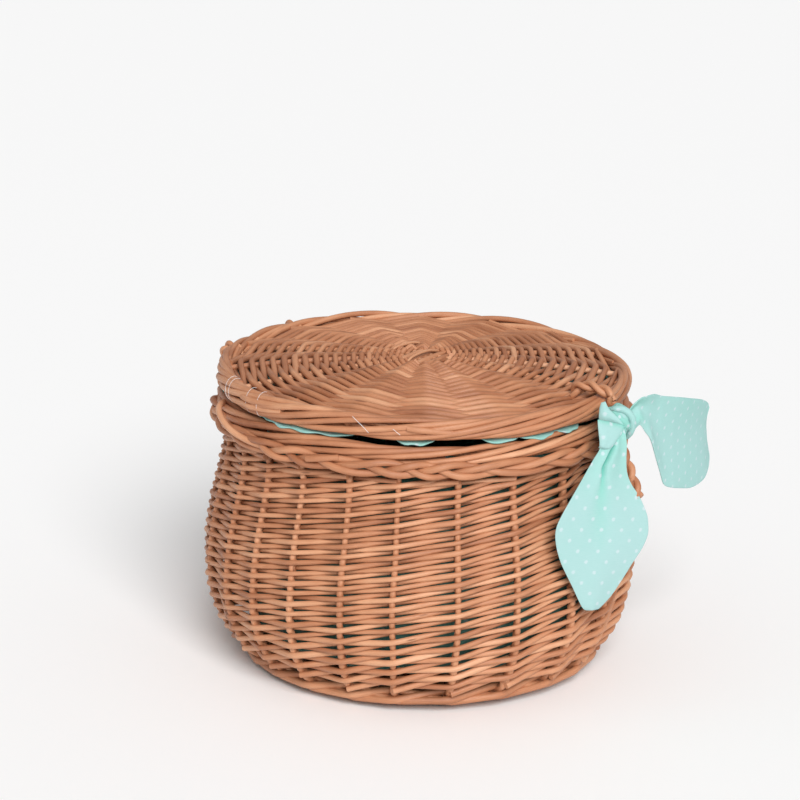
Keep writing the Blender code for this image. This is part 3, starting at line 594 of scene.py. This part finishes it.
hinge = {"strand": 0.0033, "lay": 0.016, "aside": 0.034,
         "upper": [(0.1180, 0.1850), (0.1235, 0.1893), (0.1290, 0.1893), (0.1322, 0.1862), (0.1328, 0.1815),
                   (0.1327, 0.1757)],
         "lower": [(0.1327, 0.1748), (0.1340, 0.1662), (0.1348, 0.1600), (0.1325, 0.1480), (0.1300, 0.1360)]}
for side, x in (("left", -hinge["aside"]), ("right", hinge["aside"])):
    for part, body in (("upper", "lid"), ("lower", "basket")):
        tie = twistedTie([(x, y, z) for y, z in hinge[part]], hinge["strand"], hinge["lay"], 3 + x)
        nodes = [f"hinge_strap_{side}_{part}"]
        asPiece(f"hinge_tie_{side}_{part}", tie, willowPale, body, nodes)
print("ties twisted")


# cloth: a grid placed by a function of its shares across and down, with its own cloth coordinates
# fold is the painted shade each point gets: a number, or a function of its shares across and down
def asCloth(name, columns, rows, place, flat, body, thickness=0.0007, fold=0.3, nodes=(),
            smooth=1, weld=False, material=cotton):
    shape = bmesh.new()
    bmesh.ops.create_grid(shape, x_segments=columns, y_segments=rows, size=0.5)
    clothU, clothV, paintedShadeLayer = (shape.verts.layers.float.new(layer) for layer in ("clothU", "clothV", "fold"))
    for point in shape.verts:
        s, t = point.co.x + 0.5, point.co.y + 0.5
        point[clothU], point[clothV] = flat(s, t)
        point[paintedShadeLayer] = fold(s, t) if callable(fold) else fold
        point.co = place(s, t)
    if weld:
        bmesh.ops.remove_doubles(shape, verts=shape.verts, dist=1e-5)
    bmesh.ops.recalc_face_normals(shape, faces=shape.faces)
    mesh = bpy.data.meshes.new(name)
    shape.to_mesh(mesh)
    shape.free()
    piece = asPiece(name, [mesh], material, body, nodes)
    thick = piece.modifiers.new("cloth", "SOLIDIFY")
    thick.thickness = thickness
    thick.offset = 0.0
    if smooth:
        soft = piece.modifiers.new("soft", "SUBSURF")
        soft.levels = soft.render_levels = smooth
    return piece


def alongLine(points):
    line = throughPoints(np.array(points) / 1000, 5)
    run = np.concatenate([[0], np.cumsum(np.linalg.norm(np.diff(line, axis=0), axis=1))])
    return lambda t: [float(np.interp(t * run[-1], run, line[:, k])) for k in (0, 1)], run[-1]


lining = {"points": [(0.0, 15.4), (30, 15.4), (60, 15.4), (84, 15.8), (93, 17.6), (100.5, 19.6), (108, 25.6),
                     (116.5, 38), (122.9, 56), (123.9, 76), (121.4, 97), (116.4, 121), (112.8, 142),
                     (115.3, 158), (117.6, 165.5), (119.7, 170.2)],
          "gathers": 46, "gatherFrom": 0.62, "gatherDeep": 0.0011, "gatherOut": 0.0004,
          "slack": 0.0014, "floorShare": 0.35, "back": 0.0006, "middle": 0.118}
liningAt, liningLength = alongLine(lining["points"])


def liningPlace(s, t):
    radius, height = liningAt(t)
    angle = s * turn
    gather = max(0.0, (t - lining["gatherFrom"]) / (1 - lining["gatherFrom"])) ** 1.5
    crease = math.sin(angle * lining["gathers"] + 1.3 * math.sin(angle * 5)) * lining["gatherDeep"] * gather
    slack = abs(noise.noise((math.cos(angle) * 3, math.sin(angle) * 3, t * 6)))
    slack *= lining["slack"] * min(1, t * 3) * (1 - gather)
    onFloor = t <= lining["floorShare"]
    radius += min(crease, lining["gatherOut"]) - lining["back"] - (0 if onFloor else slack)
    height += slack if onFloor else 0
    return Vector((radius * math.cos(angle), radius * math.sin(angle), height))


# 0.8 is painted shade: the basket's lining is coloured as if in shade all over
piece = asCloth("basket_lining_cloth", 288, 84, liningPlace,
                lambda s, t: (s * turn * lining["middle"], t * liningLength), "basket", 0.0008, 0.8,
                ["basket_lining"], smooth=0, weld=True, material=liningCotton)

# the lid's cloth ends under the border and bulges out of it in lobes, between degrees round the lid
pad = {"points": [(0.0, 182.2), (40, 181.8), (80, 179.8), (106, 178.9), (119, 178.8)], "cloth": 0.13,
       "edge": 0.86, "tuck": 0.0028, "bulge": 0.0068, "droop": 0.0026, "ruck": 0.0008, "ruckOut": 0.0007,
       "lobes": [(155.6, 192.9), (204.6, 215.9), (228.9, 239.9), (239.5, 252.3), (251.9, 262.3), (274, 291),
                 (299, 331), (346, 371), (24, 58), (76, 101), (113, 139)]}
padAt = alongLine(pad["points"])[0]


def bulging(angle):
    bearing = math.degrees(angle) % 360
    best = 0.0
    for first, last in pad["lobes"]:
        for at in (bearing, bearing + 360):
            if first < at < last:
                best = max(best, math.sin(math.pi * (at - first) / (last - first)) ** 0.45)
    return best


def padPlace(s, t):
    angle = s * turn
    radius, height = padAt(min(1, t / pad["edge"]))
    edge = max(0.0, (t - pad["edge"]) / (1 - pad["edge"]))
    out = bulging(angle)
    ruck = math.sin(angle * 61 + 3.0 * math.sin(angle * 7)) * 0.5
    ruck += noise.noise((math.cos(angle) * 9, math.sin(angle) * 9, 4))
    radius += edge * out * (pad["bulge"] + pad["ruckOut"] * ruck) + edge * pad["tuck"]
    height -= edge**1.5 * out * (pad["droop"] + pad["ruck"] * ruck)
    puff = noise.noise((math.cos(angle) * 3, math.sin(angle) * 3, radius * 60))
    height += pad["ruck"] * puff * min(1, t * 4) * (1 - edge)
    return Vector((radius * math.cos(angle), radius * math.sin(angle), height))


def padFlat(s, t):
    return t * pad["cloth"] * math.cos(s * turn), t * pad["cloth"] * math.sin(s * turn)


def padShade(s, t):
    return 0.30 + 0.07 * math.sin(s * turn * 31 + 2 * math.sin(s * turn * 5))


piece = asCloth("lid_lining_cloth", 432, 56, padPlace, padFlat, "lid", 0.0008, padShade,
                ["lid_lining"], smooth=0, weld=True)
print("linings sewn")

# the ribbon hangs from a knot round the hasp; its pieces are laid out in millimetres from the knot's middle
knotSpot = Vector((-0.005, -0.1448, 0.1807))
knotFaces = -57


def frameAt(degrees):
    angle = math.radians(degrees)
    return Vector((math.cos(angle), math.sin(angle), 0)), Vector((math.sin(angle), -math.cos(angle), 0))


def rowReader(rows, each=4):
    line = throughPoints(rows, each) / 1000
    return lambda t: [float(np.interp(t * (len(line) - 1), range(len(line)), column)) for column in line.T]


# a small patch of ribbon, from rows like the hanging tail's
# fold is the painted shade given to the patch's cloth
def patch(name, degrees, rows, bulge, fold, shift):
    aside, out = frameAt(degrees)
    row = rowReader(rows)

    def place(s, t):
        depth, x1, z1, x2, z2 = row(t)
        swell = bulge * ((1 - (2 * s - 1) ** 4) * (1 - (2 * t - 1) ** 4) - 1)
        wave = 0.0004 * noise.noise((s * 3, t * 3, degrees))
        return (knotSpot + aside * (x1 + (x2 - x1) * s) + out * (depth + swell + wave)
                + Vector((0, 0, z1 + (z2 - z1) * s)))

    def flat(s, t):
        depth, x1, z1, x2, z2 = row(t)
        return x1 + (x2 - x1) * s + shift[0], z1 + (z2 - z1) * s + shift[1]

    return asCloth(name, 24, 24, place, flat, "hasp", 0.0009, fold)


drop = {
    # every row: how far out, then aside and up for the left end, then for the right end
    "rows": [(9.0, -15.0, 4.0, -4.0, 1.0), (11.0, -20.5, -1.5, -2.6, -4.2), (12.2, -21.2, -7.0, -2.4, -9.6),
             (12.5, -21.6, -12.2, -2.6, -16.0), (12.5, -25.7, -17.4, -2.7, -20.4),
             (12.5, -31.1, -24.9, -1.7, -28.9), (12.5, -35.8, -31.5, 1.8, -36.7),
             (12.5, -40.5, -38.1, 7.8, -44.9), (12.5, -44.8, -44.2, 11.9, -52.3),
             (12.5, -48.5, -50.0, 14.9, -58.9), (12.5, -51.2, -55.6, 16.1, -65.6),
             (12.5, -52.0, -61.9, 16.0, -72.1), (12.5, -50.4, -70.4, 12.4, -80.0),
             (12.5, -47.1, -79.6, 6.5, -87.9), (12.5, -42.7, -88.0, 1.8, -95.0),
             (12.5, -38.0, -96.2, -3.0, -101.8), (12.5, -33.6, -104.4, -8.2, -108.5),
             (12.5, -28.9, -112.6, -14.2, -113.7), (12.5, -25.6, -115.0, -17.0, -115.6)],
    "askew": -28, "belly": 0.0022, "gather": 0.0011, "ripple": 0.0012,
    # how the cloth lies: its turn, then its stretch and shift across and down
    "lattice": math.radians(8.6), "grain": (0.946, 0.0021, 0.971, 0.0038),
    # how deep, how wide and where the fold below the knot runs, by the height below the knot in millimetres
    "foldAt": [0, 11, 23, 32, 44, 62, 80], "foldX": [-8, -12.4, -19.0, -19.6, -20.0, -20.5, -20.5],
    "foldDeep": [3.0, 3.4, 3.0, 1.7, 1.0, 0.4, 0], "foldWide": [1.1, 1.2, 1.3, 1.9, 5.5, 9.0, 9.0],
    "foldShade": 270, "neckShade": 0.42, "plainShade": 0.06,
}
dropRow = rowReader(drop["rows"])
dropAside, dropOut = frameAt(drop["askew"])


def dropFold(x, z):
    deep, wide, middle = (float(np.interp(-z * 1000, drop["foldAt"], drop[key])) / 1000
                          for key in ("foldDeep", "foldWide", "foldX"))
    return deep, math.exp(-(((x - middle) / wide) ** 2))


def dropPlace(s, t):
    out, x1, z1, x2, z2 = dropRow(t)
    x, z = x1 + (x2 - x1) * s, z1 + (z2 - z1) * s
    deep, near = dropFold(x, z)
    ease = 1 - min(1, t * 1.6)
    out += drop["belly"] * (math.sin(math.pi * t) - 0.6 * (2 * s - 1) ** 2) - deep * near
    out += drop["gather"] * ease * math.cos((s - 0.5) * turn * 1.6)
    out += drop["ripple"] * noise.noise((s * 2.2, t * 3.0, 2.0))
    return knotSpot + dropAside * x + dropOut * out + Vector((0, 0, z))


def dropFlat(s, t):
    out, x1, z1, x2, z2 = dropRow(t)
    x, z = x1 + (x2 - x1) * s, z1 + (z2 - z1) * s
    c, d = math.cos(drop["lattice"]), math.sin(drop["lattice"])
    across, aside, up, above = drop["grain"]
    return (x * c - z * d) * across + aside, (x * d + z * c) * up + above


def dropShade(s, t):
    out, x1, z1, x2, z2 = dropRow(t)
    deep, near = dropFold(x1 + (x2 - x1) * s, z1 + (z2 - z1) * s)
    neck = drop["neckShade"] * max(0, 1 - t * 2.2)
    return min(1, near**1.5 * deep * drop["foldShade"] + neck + drop["plainShade"])


dropTail = asCloth("ribbon_drop_tail", 72, 84, dropPlace, dropFlat, "hasp", fold=dropShade, nodes=["ribbon"])

side = {
    # how far along and how high, at the top edge and at the bottom edge
    "edges": [(2.0, 7.0, 2.5, -5.0), (5.5, 10.6, 6.4, -8.0), (10.4, 14.2, 11.5, -3.5),
              (14.5, 14.4, 16.0, -8.8), (18.6, 14.7, 20.5, -14.7), (23.2, 14.2, 26.6, -27.0),
              (28.4, 12.5, 32.6, -38.1), (32.6, 11.0, 37.4, -47.2), (39.4, 9.3, 45.1, -51.2),
              (51.5, 6.3, 58.2, -54.9), (65.2, 2.5, 72.9, -58.2), (81.2, -2.1, 89.3, -58.2),
              (90.2, -5.4, 98.6, -55.6), (97.0, -8.9, 104.2, -51.0), (99.6, -12.4, 105.6, -46.0)],
    "heading": -8, "lattice": (1.111, -0.824, 0.577, 0.783), "shift": (0.003, -0.0004),
    "gather": 0.0016, "hollow": 0.0020, "ripple": 0.0024,
    "bowAt": [0, 6, 10, 20.5, 35, 49.5, 64, 78.5, 93, 110],
    "bow": [3, 5, 7.0, 9.0, 9.4, 8.6, 6.8, 4.0, 0.5, -5],
}
sideRow = rowReader([(0, *edge) for edge in side["edges"]])
sideAlong, sideOut = frameAt(side["heading"])


def sideSpot(s, t):
    zero, a1, z1, a2, z2 = sideRow(t)
    return a1 + (a2 - a1) * s, z1 + (z2 - z1) * s


def sidePlace(s, t):
    along, height = sideSpot(s, t)
    out = float(np.interp(along * 1000, side["bowAt"], side["bow"])) / 1000
    neck = max(0, 1 - t * 2.6)
    out += side["gather"] * neck * math.cos(s * turn * 1.3 + 0.4)
    out -= side["hollow"] * math.sin(math.pi * s) * (1 - neck)
    out += side["ripple"] * noise.noise((s * 1.7, t * 3.1, 7.0)) * min(1, t * 3)
    return knotSpot + sideAlong * along + sideOut * out + Vector((0, 0, height))


def sideFlat(s, t):
    along, height = sideSpot(s, t)
    a, b, c, d = side["lattice"]
    return along * a + height * b + side["shift"][0], along * c + height * d + side["shift"][1]


def sideShade(s, t):
    neck = 0.42 * max(0, 1 - t * 3.2) * (0.5 + 0.5 * math.sin(s * 11))
    return 0.14 + neck + 0.10 * max(0, 0.5 - s)


sideTail = asCloth("ribbon_side_tail", 60, 96, sidePlace, sideFlat, "hasp", fold=sideShade)

turns = {
    "flap": [(11.2, -22.4, 6.4, -2.6, 0.2), (12.6, -23.1, 2.5, -4.9, -3.0), (13.6, -22.9, -1.7, -7.7, -5.9),
             (14.2, -22.5, -6.0, -11.2, -8.8), (14.0, -22.3, -9.6, -13.8, -11.9),
             (12.0, -21.6, -11.0, -15.0, -13.6)],
    "ear": [(8.0, -11.9, 13.2, -10.0, 14.0), (9.4, -12.9, 10.2, -8.2, 10.6), (10.6, -13.3, 7.6, -5.7, 8.1),
            (11.6, -13.5, 4.9, -1.4, 4.3), (11.2, -13.2, 1.2, 3.4, -1.6)],
    "under": [(7.5, -12.6, 3.0, 1.0, -1.0), (9.6, -12.8, 0.5, 3.0, -2.2), (9.2, -12.6, -3.0, 3.6, -4.4)],
    "swell": 0.0016, "underSwell": 0.0012,
}


def flapShade(s, t):
    return 0.12 + 0.55 * max(0, 1 - t * 7) + 0.3 * max(0, s * 6 - 5)


def earShade(s, t):
    return 0.14 + 0.5 * max(0, t * 6 - 5)


flap = patch("ribbon_flap", drop["askew"], turns["flap"], turns["swell"], flapShade, (0.0066, 0.0040))
ear = patch("ribbon_ear", knotFaces, turns["ear"], turns["swell"], earShade, (0.0030, 0.0125))
# 0.5 is painted shade: the turn under the knot is coloured as if in shade
under = patch("ribbon_under_turn", knotFaces, turns["under"], turns["underSwell"], 0.5, (0.001, 0.005))


# the knot's round middle and the turn that wraps it
def asBun(name, aside, up, out, size, shade):
    across, ahead = frameAt(knotFaces)
    shape = bmesh.new()
    bmesh.ops.create_icosphere(shape, subdivisions=5, radius=0.5)
    layers = [shape.verts.layers.float.new(layer) for layer in ("clothU", "clothV", "fold")]
    for point in shape.verts:
        way = point.co.normalized()
        crease = 0.030 * math.sin((way.z * 0.8 + way.x * 0.6) * 10 + way.y * 2) + 0.03 * noise.noise(way * 2.5)
        x, y, z = way * (0.5 + crease)
        # painted shade: shade darkens the knot's cloth colour, more along its crease ripples
        values = (math.atan2(way.x, -way.y) * 0.011 + 0.0069, way.z * 0.012 + 0.001, shade + crease * 4)
        for layer, value in zip(layers, values):
            point[layer] = value
        point.co = knotSpot + across * (aside + x * size[0]) + ahead * (out - y * size[1])
        point.co.z += up + z * size[2]
    bmesh.ops.recalc_face_normals(shape, faces=shape.faces)
    mesh = bpy.data.meshes.new(name)
    shape.to_mesh(mesh)
    shape.free()
    return asPiece(name, [mesh], cotton, "hasp", [])


asBun("ribbon_knot", -0.001, 0.0005, 0.0010, (0.0185, 0.0190, 0.0205), 0.45)
asBun("ribbon_knot_face", -0.0009, 0.0026, 0.0045, (0.0128, 0.0104, 0.0130), 0.16)

# the path gives aside, up and out from the knot's middle
wrap = {"path": [(-5.6, 8.4, 5.0), (-3.0, 9.4, 6.2), (0.6, 9.4, 6.8), (4.4, 7.4, 6.8), (7.0, 3.4, 6.2),
                 (7.6, -1.6, 5.2), (6.6, -6.4, 3.8), (4.8, -10.0, 2.0)],
        "radius": [1.4, 1.9, 2.2, 2.3, 2.3, 2.2, 1.9, 1.3], "shade": 0.2}
across, ahead = frameAt(knotFaces)
line = throughPoints(wrap["path"], 6) / 1000
radii = np.interp(np.linspace(0, 7, len(line)), range(8), wrap["radius"]) / 1000
points = [knotSpot + across * x + Vector((0, 0, z)) + ahead * y for x, z, y in line]
mesh = bentRod(np.array(points), radii, tone=0.2, sides=16)
for name, source, scale in (("clothU", "along", 1.0), ("clothV", "around", 0.015)):
    values = np.empty(len(mesh.vertices), np.float32)
    mesh.attributes[source].data.foreach_get("value", values)
    mesh.attributes.new(name, "FLOAT", "POINT").data.foreach_set("value", values * scale)
# the turn round the knot is painted in shade
shade = np.full(len(mesh.vertices), wrap["shade"], np.float32)
mesh.attributes.new("fold", "FLOAT", "POINT").data.foreach_set("value", shade)
asPiece("ribbon_knot_turn", [mesh], cotton, "hasp", [])

print("ribbon tied")

# two binding rods at the lid's middle, rod ends in the borders and the threads that sew the lining on
bits = {
    "bindingRod": 0.00095, "endRod": 0.0020, "threadRod": 0.00013, "stitchRod": 0.00010,
    "bindings": [[(-0.0041, 0.0222, 0.1966), (0.0014, 0.0214, 0.1984), (0.0154, 0.0195, 0.1986),
                  (0.0259, 0.0181, 0.1962)],
                 [(-0.0181, 0.0008, 0.1964), (-0.0116, 0.0006, 0.1986), (0.0034, 0.0000, 0.1990),
                  (0.0159, -0.0007, 0.1964)]],
    # the rest by bearing in degrees, then radius and height in millimetres
    "lidEnds": [[(208.2, 131.0, 187.4), (212.0, 131.6, 186.6), (220, 129.5, 184.5)],
                [(154.2, 130.8, 186.8), (160.0, 131.8, 187.4), (172, 129.8, 189.2)],
                [(154.6, 130.6, 182.9), (160.0, 131.4, 183.2), (171, 129.4, 185.4)]],
    "rimEnds": [[(181.4, 135.2, 162.4), (184.5, 134.4, 163.6), (190, 131.4, 165.4)],
                [(135.5, 127.5, 171.6), (140.0, 132.6, 173.0), (144.0, 136.6, 172.4), (148.5, 138.6, 169.8),
                 (154.0, 138.0, 165.6), (160.0, 134.4, 162.2), (166.0, 131.0, 161.0)]],
    "threads": [[(193.9, 133.0, 192.6), (195.2, 133.7, 190.4), (197.0, 134.3, 187.2), (198.4, 134.2, 184.0)],
                [(204.6, 133.2, 187.2), (205.6, 133.9, 185.6), (206.5, 133.8, 183.9)]],
    "stitches": [144.6, 147.0, 157.4, 162.4],
}


def roundTheRim(places):
    bearing, radius, height = np.array(places).T
    bearing = np.radians(bearing)
    return np.column_stack([radius * np.cos(bearing), radius * np.sin(bearing), height]) / 1000


meshes = [bentRod(throughPoints(path, 8), bits["bindingRod"], 0.9) for path in bits["bindings"]]
asPiece("lid_bindings", meshes, willowPale, "lid")
for name, key, body in (("lid_rod_ends", "lidEnds", "lid"), ("rim_rod_ends", "rimEnds", "basket")):
    lines = [throughPoints(roundTheRim(path), 8) for path in bits[key]]
    asPiece(name, [bentRod(line, bits["endRod"], sides=10) for line in lines], willow, body)
lines = [throughPoints(roundTheRim(path), 5) for path in bits["threads"]]
meshes = [bentRod(line, bits["threadRod"], sides=6) for line in lines]
# a stitch goes over the border, from inside it to under its edge
t = np.linspace(-1.3, 1.9, 12)
for bearing in bits["stitches"]:
    loop = np.column_stack([bearing + 0.5 * np.sin(t * 0.5), 127.2 + 5.6 * np.cos(t), 185.6 + 8.2 * np.sin(t)])
    meshes.append(bentRod(throughPoints(roundTheRim(loop), 3), bits["stitchRod"], sides=6))
asPiece("sewing_thread", meshes, nylon, "lid", [])
print("small bits laid")

# camera, light and floor
view = {"bearing": math.radians(-58), "away": 1.63904, "height": 0.64531, "lens": 119.95,
        "aim": math.radians(0.51), "tilt": math.radians(73.72), "roll": math.radians(1.36)}
spin = Matrix.Rotation(view["bearing"], 3, "Z")
aim = Matrix.Rotation(view["aim"], 3, "Z") @ Matrix.Rotation(view["tilt"], 3, "X")
axes = spin @ aim @ Matrix.Rotation(view["roll"], 3, "Z")
spot = spin @ Vector((0.0, -view["away"], view["height"]))
lens = bpy.data.cameras.new("camera")
lens.lens = view["lens"]
lens.sensor_width = 36
camera = bpy.data.objects.new("camera", lens)
camera.matrix_world = Matrix.Translation(spot) @ axes.to_4x4()
scene.collection.objects.link(camera)
scene.camera = camera

light = {"sky": 0.41, "sun": 3.0, "spread": math.radians(32), "height": math.radians(36),
         "aside": math.radians(14)}
lamp = bpy.data.lights.new("key", "SUN")
lamp.energy = light["sun"]
lamp.angle = light["spread"]
sun = bpy.data.objects.new("key", lamp)
low = math.cos(light["height"])
toward = spin @ Vector((math.sin(light["aside"]) * low, -math.cos(light["aside"]) * low,
                        math.sin(light["height"])))
sun.rotation_euler = toward.to_track_quat("Z", "Y").to_euler()
scene.collection.objects.link(sun)

world = bpy.data.worlds.new("studio")
world.use_nodes = True
tree = world.node_tree
background = tree.nodes["Background"]
ray = tree.nodes.new("ShaderNodeLightPath")
level = tree.nodes.new("ShaderNodeMapRange")
level.inputs["To Min"].default_value = light["sky"]
level.inputs["To Max"].default_value = 1.0
tree.links.new(ray.outputs["Is Camera Ray"], level.inputs["Value"])
tree.links.new(level.outputs["Result"], background.inputs["Strength"])
background.inputs["Color"].default_value = (1, 1, 1, 1)
scene.world = world

shape = bmesh.new()
bmesh.ops.create_grid(shape, x_segments=1, y_segments=1, size=12)
bmesh.ops.translate(shape, verts=shape.verts, vec=(0, 0, -0.0002))
sheet = bpy.data.meshes.new("floor")
shape.to_mesh(sheet)
shape.free()
floor = bpy.data.objects.new("floor", sheet)
scene.collection.objects.link(floor)
sheet.materials.append(Finish("paper").end(base_color=(0.98, 0.98, 0.98), roughness=0.9))

scene.view_settings.view_transform = "Standard"
